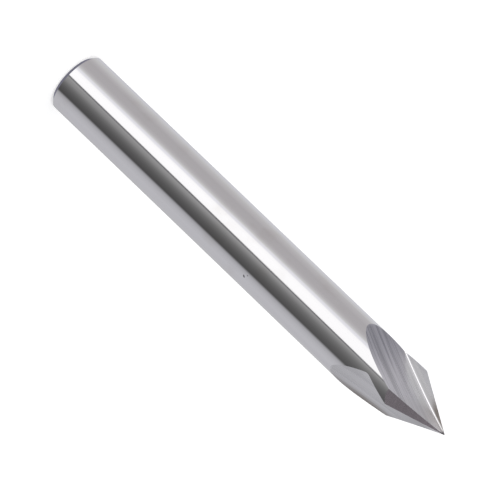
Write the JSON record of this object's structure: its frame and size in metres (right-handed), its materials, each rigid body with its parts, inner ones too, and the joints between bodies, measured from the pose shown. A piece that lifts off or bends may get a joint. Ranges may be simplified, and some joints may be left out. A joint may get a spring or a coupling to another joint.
{
  "type": "v groove router bit",
  "caption": "Solid carbide V groove router bit: a plain round shank that ends in a sharp fluted cone for cutting V grooves, chamfers and engraved lines.",
  "frame": {"origin": "middle of the flat end of the shank, which is the end that the bit stands on", "axes": "+Z along the bit from the shank end to the cutting point; one cutting edge lies halfway between +X and +Y and the others follow at equal turns"},
  "size_m": [0.0064, 0.0064, 0.0508],
  "materials": {
    "carbide": "ground and polished tungsten carbide"
  },
  "bodies": {
    "root": {"v_groove_bit": "carbide"}
  },
  "joints": []
}
